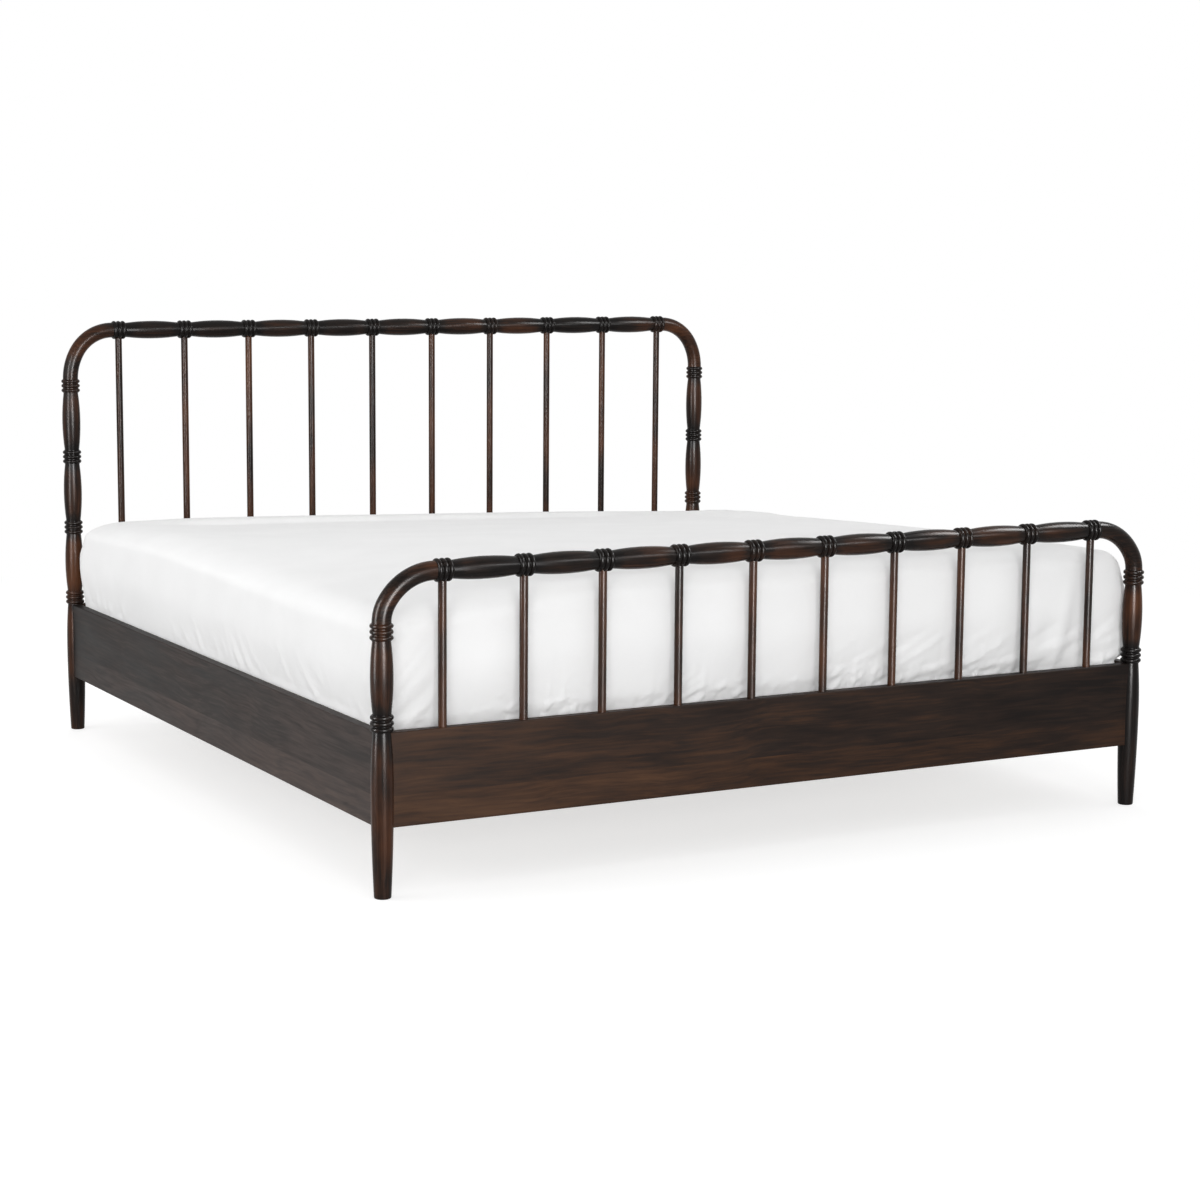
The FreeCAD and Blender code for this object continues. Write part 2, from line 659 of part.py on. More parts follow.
def build_end(name, end, groups, step, rise, post_top, axis):
    """A head or foot board: posts, elbows, top rail, spindles and plank."""
    for side_name, side in SIDES.items():
        save(f"{name}_post_{side_name}", post_at(groups, step, side, end))
        save(f"{name}_elbow_{side_name}", elbow_at(rise, post_top, side, end))
    save(f"{name}_top_rail", top_rail(axis, end))
    for k, x in enumerate(spindle_places(), 1):
        save(f"{name}_spindle_{k:02d}", spindle(x, axis, end))
    save(f"{name}_lower_rail", end_plank(end))


def build_base():
    """Side rails, ledgers, slats and the centre support."""
    for side_name, side in SIDES.items():
        save(f"side_rail_{side_name}", side_rail(side))
        save(f"ledger_{side_name}", ledger(side))
    for k, y in enumerate(slat_places(), 1):
        save(f"slat_{k:02d}", slat(y))
    save("centre_rail", centre_rail())
    for end_name, end in {"foot": -1, "head": 1}.items():
        save(f"centre_leg_{end_name}", centre_leg(end))
        save(f"leveller_{end_name}", leveller(end))


def build_hardware():
    """Brackets, bolts and screws, each kind as one group of separate solids."""
    corners = [(side, end) for side in SIDES.values() for end in (-1, 1)]
    save("corner_braces", Part.makeCompound([corner_brace(*c) for c in corners]))
    save("centre_rail_saddles", Part.makeCompound([saddle(end) for end in (-1, 1)]))
    bolts = [b for c in corners for b in brace_bolts(*c)]
    bolts += [b for end in (-1, 1) for b in saddle_bolts(end)]
    save("bracket_bolts", Part.makeCompound([bolt(*b) for b in bolts]))
    screws = [s for side in SIDES.values() for s in ledger_screws(side)]
    screws += [s for y in slat_places() for s in slat_screws(y)]
    save("wood_screws", Part.makeCompound([screw(*s) for s in screws]))


def build_bedding():
    save("mattress", mattress_form(0))
    save("fitted_sheet", fitted_sheet())


head = (HEAD_RING_GROUPS, HEAD_RING_STEP, HEAD_ELBOW_RISE, HEAD_POST_TOP, HEAD_RAIL_AXIS)
foot = (FOOT_RING_GROUPS, FOOT_RING_STEP, FOOT_ELBOW_RISE, FOOT_POST_TOP, FOOT_RAIL_AXIS)
build_end("head", 1, *head)
build_end("foot", -1, *foot)
build_base()
build_hardware()
build_bedding()
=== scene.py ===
import math
from collections import namedtuple

import bpy
import numpy as np
from mathutils import Matrix, Vector, noise


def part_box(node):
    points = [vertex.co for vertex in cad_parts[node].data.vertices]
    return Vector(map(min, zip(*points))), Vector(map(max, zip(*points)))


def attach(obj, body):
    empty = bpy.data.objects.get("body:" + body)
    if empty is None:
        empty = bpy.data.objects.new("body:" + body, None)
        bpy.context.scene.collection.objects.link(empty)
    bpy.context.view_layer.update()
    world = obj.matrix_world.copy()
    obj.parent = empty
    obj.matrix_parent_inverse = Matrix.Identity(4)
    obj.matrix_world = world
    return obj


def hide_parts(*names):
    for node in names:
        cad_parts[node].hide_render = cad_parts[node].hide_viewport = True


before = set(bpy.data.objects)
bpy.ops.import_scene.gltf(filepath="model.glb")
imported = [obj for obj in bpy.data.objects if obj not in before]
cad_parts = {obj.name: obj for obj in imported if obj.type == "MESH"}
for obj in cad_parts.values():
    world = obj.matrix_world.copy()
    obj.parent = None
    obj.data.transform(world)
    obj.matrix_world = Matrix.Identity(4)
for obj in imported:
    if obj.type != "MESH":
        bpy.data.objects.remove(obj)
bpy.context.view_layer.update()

# A king-size spindle bed in dark stained wood, with a mattress in a white fitted sheet. The CAD pieces of
# the bed stay in view and get node materials; soft meshes stand for the mattress and the sheet.
# Metres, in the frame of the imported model: +X across the bed, +Y towards its head end, +Z up.

# Camera
CAMERA_PLACE = Vector((-3.1123, -5.8128, 1.3666))
CAMERA_AZIMUTH = math.radians(-28.864)
CAMERA_ELEVATION = math.radians(8.048)
CAMERA_ROLL = math.radians(0.442)
CAMERA_LENS_MM = 76.80
SENSOR_MM = 36.0

# Surroundings: a white room, and a floor that shows its shadows within a reach of the bed's middle
AMBIENT = 0.62
ROOM_WHITE = 1.0
FLOOR_SIZE = 60.0
FLOOR_COLOUR = 0.5
FLOOR_LIFT = 0.65
SHADOW_REACH = (2.6, 4.2)

# Soft boxes: azimuth, distance and height of the middle, width, height, power in watts
SOFT_BOXES = {
    "key_box": (-25.0, 11.0, 2.6, 8.0, 2.5, 690.0),
    "left_box": (-97.0, 5.0, 2.1, 3.4, 2.2, 62.0),
    "top_box": (-30.0, 0.3, 3.8, 3.4, 3.0, 13.0),
}

# Boxes that light the far sides without a gloss of their own
FILL_BOXES = {
    "back_fill": (165.0, 9.0, 2.6, 5.0, 2.5, 190.0),
    "right_fill": (85.0, 9.0, 2.6, 5.0, 2.5, 110.0),
}

# Boxes that only show as gloss on the lacquer
GLOSS_BOXES = {
    "front_gloss": (-9.0, 5.6, 1.1, 1.6, 2.2, 760.0),
    "left_gloss": (-79.0, 3.6, 1.1, 0.8, 2.2, 230.0),
    "right_gloss": (63.0, 3.1, 3.0, 1.1, 1.1, 150.0),
    "rail_gloss": (23.0, 5.4, 2.5, 2.0, 0.8, 110.0),
}
LIGHT_AIM = Vector((0.0, 0.0, 0.5))

# Ring groups of the turned pieces
RING_GROUP = 0.0372
RING_FADE = 0.03
LOW_RINGS = 0.371
HEAD_RING_STEP = 0.1946
FOOT_RING_STEP = 0.191
HEAD_RING_GROUPS = 4
FOOT_RING_GROUPS = 2

# Stains from the darkest to the warmest, and the tones at which they come; the side planks' colours hold a
# painted sheen of reflected light over the stain
TURNED_STAIN = (
    (0.0050, 0.0037, 0.0033),
    (0.0130, 0.0074, 0.0054),
    (0.0380, 0.0150, 0.0075),
    (0.0850, 0.0310, 0.0125),
)
TURNED_STOPS = (0.38, 0.48, 0.58, 0.74)
PLANK_STAIN = (
    (0.0085, 0.0060, 0.0053),
    (0.0190, 0.0112, 0.0083),
    (0.0395, 0.0190, 0.0106),
    (0.0800, 0.0370, 0.0172),
)
# The side planks' stain made paler and greyer: a painted sheen of reflected light over the same stain as
# the end planks
SIDE_STAIN_AND_SHEEN = (
    (0.0080, 0.0066, 0.0060),
    (0.0205, 0.0152, 0.0132),
    (0.0430, 0.0320, 0.0285),
    (0.0840, 0.0600, 0.0500),
)
PLANK_STOPS = (0.30, 0.43, 0.54, 0.72)

# What the patterns add to the tone
PATCH_SHARE = 0.72
STREAK_SHARE = 0.28
CLOUD_SHARE = 0.30
FIGURE_SHARE = 0.26
FLECK_SHARE = 0.26
STAVE_SHARE = 0.18

# What the pieces and their places add to the tone: more is warmer; the changes from left to right and from
# end to end are partly painted light and shade
HEAD_RAIL_WARMTH = -0.03
FOOT_RAIL_WARMTH = -0.025
POST_WARMTH = 0.08
HEAD_SPINDLE_WARMTH = 0.06
FOOT_SPINDLE_WARMTH = 0.07
# A stain for each elbow; the left elbows are warmer and lighter and the right ones darker, as painted light
# and shade
ELBOW_STAIN_AND_SHADE = {
    ("head", "left"): 0.03,
    ("head", "right"): -0.01,
    ("foot", "left"): 0.07,
    ("foot", "right"): -0.03,
}
# Lighter and warmer at each plank's low end and darker at its high end: partly a change in the stain,
# partly painted light falloff
PLANK_END_STAIN_AND_SHADE = (0.08, -0.08)
# Darker legs: a darker stain on the left legs, and painted shade that makes the right legs darker still
LEG_STAIN_AND_SHADE = (-0.07, -0.17)
RING_SHADE = -0.11
TOP_STAVE_SHADE = -0.14

# Lacquer and grain
TURNED_ROUGHNESS = (0.23, 0.31)
TURNED_IOR = 1.18
FOOT_SPINDLE_IOR = 1.27
PLANK_ROUGHNESS = (0.40, 0.50)
PLANK_IOR = 1.14
STAVES = 3
GRAIN_SWAY = 0.012
SWAY_RANGE = (0.2, 0.8)
SOFTWOOD_BANDS = 9.0
SOFTWOOD_STOPS = (0.25, 0.8)

# Range of most values of a noise, and the places near two ends of the bed between which a shade changes
NOISE_RANGE = (0.3, 0.7)
BED_ENDS = (-1.0, 1.0)

# Cotton: its pale and its shaded colour, width of a thread
LINEN = ((0.88, 0.88, 0.88, 1), (0.85, 0.85, 0.85, 1), 0.0006)
TICKING = ((0.82, 0.80, 0.75, 1), (0.74, 0.71, 0.65, 1), 0.0012)
COTTON_STOPS = (0.35, 0.65)
COTTON_ROUGHNESS = (0.82, 0.95)
SOFT_CLOUD_SHARE = 0.8
SLUB_SHARE = 0.2

# Mattress and sheet: size of their grids, the sheet's layer, hem and size as cut
MATTRESS_STEPS = (0.014, 0.022, 0.008)
MATTRESS_INSET = 0.0085
SHEET_STEPS = (0.006, 0.012, 0.005)
SHEET_LAYER = 0.0014
SHEET_HEM = 0.110
END_REACH = 1.0165

# Radii of the mattress: those of its upper edges along X, Y and Z, of its corners and of its lower edges
HEAD_EDGE = (0.110, 0.060, 0.050)
FOOT_EDGE = (0.060, 0.080, 0.050)
RIGHT_EDGE = (0.045, 0.050, 0.040)
CORNER_RADIUS = 0.022
LOW_RADIUS = 0.035

# How far the mattress rises and falls, swells and is drawn in
CROWN = 0.004
FOOT_CROWN = 0.020
HEAD_DROP = 0.059
HEAD_LEAN = 0.032
HEAD_SLOPE = 1.7
HEAD_CORNER_DROP = 0.009
SOFT_EDGE = 0.032
SIDE_DRAW = 0.004
SIDE_BULGE = 0.013
SHOULDER_LOSS = 0.4
CORNER_BULGE = 0.013
FOOT_TUCK = 0.016
FOOT_LEAN = 0.004
FOOT_PINCH = 0.008
FACE_POWER = 6

# Where these forms begin and end, in shares of the half width, the half length or the height
FOOT_EDGE_ALONG = (0.0, 0.8)
RIGHT_EDGE_ACROSS = (0.6, 0.95)
SOFT_TOP = (0.65, 1.0)
FOOT_CROWN_ALONG = (-0.3, 0.9)
SOFT_EDGE_ACROSS = (0.4, 1.0)
SOFT_EDGE_ALONG = (-0.5, 0.7)
HEAD_CORNER_ACROSS = (0.65, 1.0)
HEAD_CORNER_ALONG = (0.3, 0.9)
FULL_CORNER_ACROSS = (0.8, 0.97)
FULL_CORNER_ALONG = (0.5, 0.9)
SHOULDER = (0.6, 1.0)
LEAN_HEIGHT = (0.55, 1.0)

# The same in metres above the planks
BULGE_ABOVE = 0.13
CORNER_ABOVE = 0.02
CORNER_BULGE_ABOVE = (0.002, 0.016)
TUCK_ABOVE = 0.14
PINCH_ABOVE = (-0.016, 0.020)

# Waves of the sheet: height, sizes along X, Y and Z, seed
Wave = namedtuple("Wave", "height sizes seed")
UNDULATION = Wave(0.0020, (0.45, 0.5, 0.35), 3.1)
WRINKLES = Wave(0.0020, (1.1, 0.070, 0.4), 7.7)
CREASES = Wave(1.0, (0.8, 0.060, 0.4), 12.3)
PUCKER_PATCHES = Wave(1.0, (0.19, 0.19, 0.9), 5.5)
ROLL_SWAY = Wave(0.010, (0.35, 9.0, 9.0), 15.0)

# Ripples on its upright faces: height, lean of their crests from the level in degrees, width, length, seed
Ripple = namedtuple("Ripple", "height lean width length seed")
PUCKERS = Ripple(1.0, 82, 0.017, 0.09, 1.3)
CROSS_PUCKERS = Ripple(0.8, 30, 0.014, 0.07, 8.8)
LOW_PLEATS = Ripple(0.0056, 14, 0.016, 0.16, 3.3)
HIGH_PLEATS = Ripple(0.0040, 30, 0.022, 0.20, 4.1)
LEFT_CORNER_FOLDS = Ripple(0.0036, 47, 0.022, 0.22, 2.2)
RIGHT_CORNER_FOLDS = Ripple(0.0042, 105, 0.028, 0.35, 4.9)
HANGING_FOLDS = Ripple(0.0065, 84, 0.030, 0.5, 6.4)
SIDE_PUCKERS = Ripple(1.0, 62, 0.026, 0.12, 2.9)
SIDE_PUCKERS_AT_HEAD = Ripple(0.0100, 80, 0.028, 0.14, 6.1)
SIDE_CORNER_FOLDS = Ripple(0.0050, 120, 0.034, 0.2, 9.6)

# Heights of puckers, and depths and widths of the creases in them
PUCKER_HEIGHT = 0.0042
PUCKER_CREASE = 0.0050
PUCKER_CREASE_WIDTH = 0.22
SIDE_PUCKER_HEIGHT = 0.0095
SIDE_CREASE = 0.0035
SIDE_CREASE_WIDTH = 0.20
TOP_CREASE = 0.0016
TOP_CREASE_WIDTH = 0.14

# Where folds begin and end along X, Y or Z, or the middle and the reach of those that lie near a place
WRINKLES_ALONG = (0.0, 0.6)
CREASES_ALONG = (-0.2, 0.6)
PATCH_EDGE = (-0.25, 0.25)
PATCH_LEAST = 0.4
PUCKER_RISE = 0.038
PLEATS_ACROSS = (-0.1, 0.4)
HIGH_PLEATS_NEAR = (0.42, 0.05)
LEFT_CORNER_REACH = 0.16
RIGHT_CORNER_REACH = 0.10
HANGING_NEAR = (0.80, 0.08)
HANGING_TOP = 0.58
HANGING_FADE = 0.18
SIDE_PUCKERS_FOOTWARD = (-0.9, 0.4)
HEAD_PUCKERS_ALONG = (0.4, 0.8)
SIDE_CORNER_NEAR = (-1.0, 0.10)
UNDULATION_ABOVE = (0.0, 0.03)
FOOT_FOLDS_ABOVE = (-0.05, -0.02)
SIDE_FOLDS_ABOVE = (0.002, 0.02)
FOLD_IN = 0.0064
FOLD_OUT = 0.0060

# A slanting groove by the right corner of the foot end
GROOVE_DEPTH = 0.0032
GROOVE_WIDTH = 0.022
GROOVE_PLACE = 0.86
GROOVE_SLANT = 0.1
GROOVE_LEVEL = 0.5

# The roll along the head edge and the slack flap by its right end; pairs of where each rises and falls
ROLL_HEIGHT = 0.015
ROLL_BACK = 0.135
ROLL_SLOPE = 0.032
ROLL_ALONG = (0.0, 0.7)
ROLL_ACROSS = ((-0.95, -0.6), (0.45, 0.85))
FLAP_RISE = 0.009
FLAP_ALONG = ((0.39, 0.51), (0.68, 0.95))
FLAP_ACROSS = ((0.80, 0.87), (0.92, 0.98))
FLAP_GROOVE = 0.003
FLAP_GROOVE_NEAR = (0.79, 0.025)

# Parts of a normal between which a face starts to count as one that looks up or to a side
LEVEL_FACING = (0.3, 0.9)
TOP_FACING = (0.6, 0.95)
SIDE_FACING = (0.4, 0.8)

# Sockets of a mix node that take plain values
MIX_FACTOR, MIX_FIRST, MIX_SECOND = 0, 2, 3


class Shader:
    """A material made of nodes, one call for each node."""

    def __init__(self, name):
        self.material = bpy.data.materials.new(name)
        self.material.use_nodes = True
        self.tree = self.material.node_tree
        self.surface = self.tree.nodes["Principled BSDF"]

    def node(self, kind, inputs=None, **settings):
        made = self.tree.nodes.new("ShaderNode" + kind)
        for key, value in settings.items():
            setattr(made, key, value)
        for key, value in (inputs or {}).items():
            self.put(made.inputs[key], value)
        return made

    def put(self, socket, value):
        if isinstance(value, bpy.types.NodeSocket):
            self.tree.links.new(value, socket)
        else:
            socket.default_value = value

    def set(self, **values):
        """Values of the surface shader, its sockets named with _ for a space."""
        for key, value in values.items():
            self.put(self.surface.inputs[key.replace("_", " ")], value)

    def place(self):
        return self.node("TexCoord").outputs["Object"]

    def math(self, operation, *values):
        inputs = dict(enumerate(values))
        return self.node("Math", inputs, operation=operation).outputs[0]

    def axis(self, vector, axis):
        return self.node("SeparateXYZ", {"Vector": vector}).outputs[axis]

    def shifted(self, vector, shift):
        return self.node("VectorMath", {0: vector, 1: shift}, operation="ADD").outputs[0]

    def noise(self, vector, scale=1.0, detail=2.0, distortion=0.0):
        inputs = {"Vector": vector, "Scale": scale, "Detail": detail}
        inputs.update({"Roughness": 0.5, "Distortion": distortion})
        return self.node("TexNoise", inputs).outputs[0]

    def grain(self, vector, along, fine, length, detail=2.0, distortion=0.0):
        """Noise that is fine across one axis and drawn out along it."""
        scale = [1 / length if axis == along else 1 / fine for axis in "XYZ"]
        drawn_out = self.node("Mapping", {"Vector": vector, "Scale": scale}).outputs[0]
        return self.noise(drawn_out, detail=detail, distortion=distortion)

    def weighed(self, *parts):
        """Sum of patterns, each with its weight."""
        total = 0.0
        for pattern, weight in parts:
            total = self.math("MULTIPLY_ADD", pattern, weight, total)
        return total

    def ramp(self, factor, stops, colours):
        made = self.node("ValToRGB", {"Fac": factor})
        elements = made.color_ramp.elements
        while len(elements) < len(stops):
            elements.new(0.5)
        for element, position, colour in zip(elements, stops, colours):
            element.position = position
            element.color = colour
        return made.outputs["Color"]

    def span(self, value, low, high, to_low=0.0, to_high=1.0, smooth=False):
        """A range of values spread over another one."""
        kind = "SMOOTHSTEP" if smooth else "LINEAR"
        inputs = {"Value": value, "From Min": low, "From Max": high}
        inputs.update({"To Min": to_low, "To Max": to_high})
        return self.node("MapRange", inputs, interpolation_type=kind).outputs[0]

    def bump(self, height, distance, strength):
        inputs = {"Height": height, "Distance": distance, "Strength": strength}
        self.set(Normal=self.node("Bump", inputs).outputs[0])


def ring_shade(s, along, first, step, groups):
    """One in the ring groups of a turned piece, and nothing on the bellies between them."""
    at = s.axis(s.place(), along)
    at = s.math("MAXIMUM", at, first - step / 2)
    at = s.math("MINIMUM", at, first + (groups - 0.5) * step)
    away = s.math("PINGPONG", s.math("SUBTRACT", at, first), step / 2)
    return s.span(away, RING_GROUP / 2, RING_GROUP / 2 + RING_FADE, 1.0, 0.0, smooth=True)


def leg_stain_and_shade(s, place):
    """The legs below the lowest rings darker: a darker stain, and painted shade that deepens from the left
    legs to the right ones.
    """
    leg = s.span(s.axis(place, "Z"), LOW_RINGS - RING_GROUP, LOW_RINGS + RING_GROUP, 1.0, 0.0)
    return s.math("MULTIPLY", leg, s.span(s.axis(place, "X"), *BED_ENDS, *LEG_STAIN_AND_SHADE))


def lacquer(s, mottle, pores, roughness, ior):
    """A coat over the stain, with the grain just felt through it."""
    s.set(Roughness=s.span(mottle, *NOISE_RANGE, *roughness), IOR=ior)
    s.bump(pores, distance=0.0001, strength=0.05)


def stain(s, tone, stops, colours):
    """Colour of the stain at a tone between nought and one."""
    return s.ramp(tone, stops, [colour + (1,) for colour in colours])


def turned_wood(name, along, rings=None, warmth_and_shade=0.0, ior=TURNED_IOR):
    """Stained wood of a round piece: broad patches of stain, streaks and pores along the grain."""
    s = Shader(name)
    place = s.place()
    patches = s.grain(place, along, fine=0.09, length=0.20, detail=3.0)
    streaks = s.grain(place, along, fine=0.006, length=0.16, detail=4.0, distortion=0.4)
    pores = s.grain(place, along, fine=0.0012, length=0.025)
    # The added tone is the piece's stain, and for the elbows also painted light and shade
    tone = s.math("ADD", s.weighed((patches, PATCH_SHARE), (streaks, STREAK_SHARE)), warmth_and_shade)
    if rings:
        tone = s.math("MULTIPLY_ADD", ring_shade(s, along, *rings), RING_SHADE, tone)
    if rings and along == "Z":
        tone = s.math("ADD", tone, leg_stain_and_shade(s, place))
    s.set(Base_Color=stain(s, tone, TURNED_STOPS, TURNED_STAIN))
    lacquer(s, streaks, pores, TURNED_ROUGHNESS, ior)
    return s.material


def stave_values(s, place):
    """Staves of a glued-up board: the shade of each, a shift of its grain, and if it is the top one."""
    low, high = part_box("side_rail_left")
    strip = (high.z - low.z) / STAVES
    row = s.math("FLOOR", s.math("DIVIDE", s.math("SUBTRACT", s.axis(place, "Z"), low.z), strip))
    chance = s.node("TexWhiteNoise", {"W": row}, noise_dimensions="1D")
    top = s.math("GREATER_THAN", row, STAVES - 1.5)
    return chance.outputs["Value"], chance.outputs["Color"], top


def plank_wood(name, along, colours):
    """Stained wood of a glued-up plank: clouds of stain, a swaying figure, flecks of grain, and painted
    light and shade from end to end.
    """
    s = Shader(name)
    place = s.place()
    shade, shift, top = stave_values(s, place)
    sway = s.span(s.grain(place, along, fine=0.25, length=0.35), *SWAY_RANGE, -GRAIN_SWAY, GRAIN_SWAY)
    swayed = s.shifted(place, s.node("CombineXYZ", {"X": sway, "Y": sway, "Z": sway}).outputs[0])
    moved = s.shifted(swayed, shift)
    clouds = s.grain(swayed, along, fine=0.050, length=0.26, detail=3.0, distortion=0.3)
    figure = s.grain(moved, along, fine=0.013, length=0.20, detail=4.0, distortion=0.6)
    flecks = s.grain(moved, along, fine=0.0055, length=0.12, detail=3.0, distortion=0.3)
    pores = s.grain(moved, along, fine=0.0011, length=0.022)
    patterns = ((clouds, CLOUD_SHARE), (figure, FIGURE_SHARE), (flecks, FLECK_SHARE))
    tone = s.weighed(*patterns, (shade, STAVE_SHARE), (top, TOP_STAVE_SHADE))
    # Painted light and shade along the plank over a change in its stain: lighter at its low end, darker at
    # its high end
    tone = s.math("ADD", tone, s.span(s.axis(place, along), *BED_ENDS, *PLANK_END_STAIN_AND_SHADE))
    s.set(Base_Color=stain(s, tone, PLANK_STOPS, colours))
    lacquer(s, clouds, pores, PLANK_ROUGHNESS, PLANK_IOR)
    return s.material


def base_wood(name, along):
    """Plain sawn softwood of the slats and what carries them."""
    s = Shader(name)
    place = s.place()
    rings = s.grain(place, along, fine=0.03, length=0.9, distortion=1.2)
    bands = s.math("PINGPONG", s.math("MULTIPLY", rings, SOFTWOOD_BANDS), 1.0)
    streaks = s.grain(place, along, fine=0.002, length=0.12, detail=3.0)
    tone = s.weighed((bands, 0.5), (streaks, 0.5))
    light, dark = (0.60, 0.43, 0.26, 1), (0.41, 0.26, 0.13, 1)
    s.set(Base_Color=s.ramp(tone, SOFTWOOD_STOPS, (light, dark)))
    s.set(Roughness=s.span(streaks, *NOISE_RANGE, 0.55, 0.7), Specular_IOR_Level=0.35)
    s.bump(streaks, distance=0.0004, strength=0.4)
    return s.material


def coated_steel(name):
    """Black powder coat with its fine orange peel."""
    s = Shader(name)
    peel = s.noise(s.place(), scale=900.0)
    tone = s.noise(s.place(), scale=25.0, detail=3.0)
    dark, pale = (0.016, 0.016, 0.017, 1), (0.028, 0.028, 0.030, 1)
    s.set(Base_Color=s.ramp(tone, NOISE_RANGE, (dark, pale)))
    s.set(Roughness=s.span(tone, *NOISE_RANGE, 0.42, 0.55))
    s.bump(peel, distance=0.0002, strength=0.5)
    return s.material


def zinc_steel(name):
    """Bright zinc plate, faintly uneven."""
    s = Shader(name)
    tone = s.noise(s.place(), scale=180.0, detail=4.0)
    dull, bright = (0.50, 0.50, 0.48, 1), (0.66, 0.66, 0.67, 1)
    s.set(Base_Color=s.ramp(tone, NOISE_RANGE, (dull, bright)))
    s.set(Metallic=1.0, Roughness=s.span(tone, *NOISE_RANGE, 0.28, 0.42))
    s.bump(tone, distance=0.0001, strength=0.3)
    return s.material


def moulded_plastic(name):
    """Black moulded plastic of the levellers."""
    s = Shader(name)
    tone = s.noise(s.place(), scale=60.0, detail=3.0)
    dark, pale = (0.018, 0.018, 0.019, 1), (0.03, 0.03, 0.031, 1)
    s.set(Base_Color=s.ramp(tone, NOISE_RANGE, (dark, pale)))
    s.set(Roughness=s.span(tone, *NOISE_RANGE, 0.5, 0.62))
    s.bump(s.noise(s.place(), scale=1500.0), distance=0.0001, strength=0.4)
    return s.material


def weave(s, thread):
    """Height of a plain weave in the three axes' directions, one thread wide."""
    threads = []
    for axis in "XYZ":
        turn = s.math("MULTIPLY", s.axis(s.place(), axis), math.pi / thread)
        threads.append(s.math("SINE", turn))
    crossed = s.math("MULTIPLY", threads[0], threads[1])
    crossed = s.math("ADD", crossed, s.math("MULTIPLY", threads[1], threads[2]))
    return s.math("ADD", crossed, s.math("MULTIPLY", threads[2], threads[0]))


def cotton(name, pale, shaded, thread):
    """Woven cotton: a soft cloud of tone, the weave and its slubs."""
    s = Shader(name)
    cloud = s.noise(s.place(), scale=6.0, detail=4.0)
    slubs = s.noise(s.place(), scale=220.0, detail=3.0)
    tone = s.weighed((cloud, SOFT_CLOUD_SHARE), (slubs, SLUB_SHARE))
    s.set(Base_Color=s.ramp(tone, COTTON_STOPS, (shaded, pale)))
    s.set(Roughness=s.span(slubs, *NOISE_RANGE, *COTTON_ROUGHNESS))
    s.set(Specular_IOR_Level=0.08, Sheen_Weight=0.06, Sheen_Roughness=0.5)
    s.bump(s.math("ADD", weave(s, thread), slubs), distance=0.00008, strength=0.5)
    return s.material


def dress(material, *nodes):
    """Gives CAD nodes their finish."""
    for name in nodes:
        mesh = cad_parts[name].data
        mesh.materials.clear()
        mesh.materials.append(material)


def numbered(prefix):
    """Names of the CAD nodes that begin in the same way."""
    return [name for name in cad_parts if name.startswith(prefix)]


def middle(name):
    low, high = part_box(name)
    return (low + high) / 2


def dress_turned():
    """The finish of the posts, elbows, top rails and spindles."""
    first = middle("head_spindle_01").x
    pitch = middle("head_spindle_02").x - first
    rail_rings = (first, pitch, len(numbered("head_spindle_")))
    dress(turned_wood("head_rail_wood", "X", rail_rings, HEAD_RAIL_WARMTH), "head_top_rail")
    dress(turned_wood("foot_rail_wood", "X", rail_rings, FOOT_RAIL_WARMTH), "foot_top_rail")
    head_rings = (LOW_RINGS, HEAD_RING_STEP, HEAD_RING_GROUPS)
    foot_rings = (LOW_RINGS, FOOT_RING_STEP, FOOT_RING_GROUPS)
    dress(turned_wood("head_post_wood", "Z", head_rings, POST_WARMTH), *numbered("head_post_"))
    dress(turned_wood("foot_post_wood", "Z", foot_rings, POST_WARMTH), *numbered("foot_post_"))
    # The right elbows are darker than the left ones as painted shade, over the stain of each
    for (end, side), warmth_and_shade in ELBOW_STAIN_AND_SHADE.items():
        dress(turned_wood(f"{end}_{side}_elbow_wood", "X", None, warmth_and_shade), f"{end}_elbow_{side}")
    head_wood = turned_wood("head_spindle_wood", "Z", None, HEAD_SPINDLE_WARMTH)
    foot_wood = turned_wood("foot_spindle_wood", "Z", None, FOOT_SPINDLE_WARMTH, FOOT_SPINDLE_IOR)
    dress(head_wood, *numbered("head_spindle_"))
    dress(foot_wood, *numbered("foot_spindle_"))


def dress_rest():
    """The finish of the planks, the slats and what carries them, and the fixings."""
    dress(plank_wood("end_plank_wood", "X", PLANK_STAIN), "head_lower_rail", "foot_lower_rail")
    # The side planks' paler, greyer colour is a painted reflection over their stain
    dress(plank_wood("side_plank_wood", "Y", SIDE_STAIN_AND_SHEEN), *numbered("side_rail_"))
    dress(base_wood("slat_wood", "X"), *numbered("slat_"))
    dress(base_wood("beam_wood", "Y"), "centre_rail", *numbered("ledger_"))
    dress(base_wood("leg_wood", "Z"), *numbered("centre_leg_"))
    dress(coated_steel("black_steel"), "corner_braces", "centre_rail_saddles")
    dress(zinc_steel("zinc_steel"), "bracket_bolts", "wood_screws")
    dress(moulded_plastic("leveller_plastic"), *numbered("leveller_"))


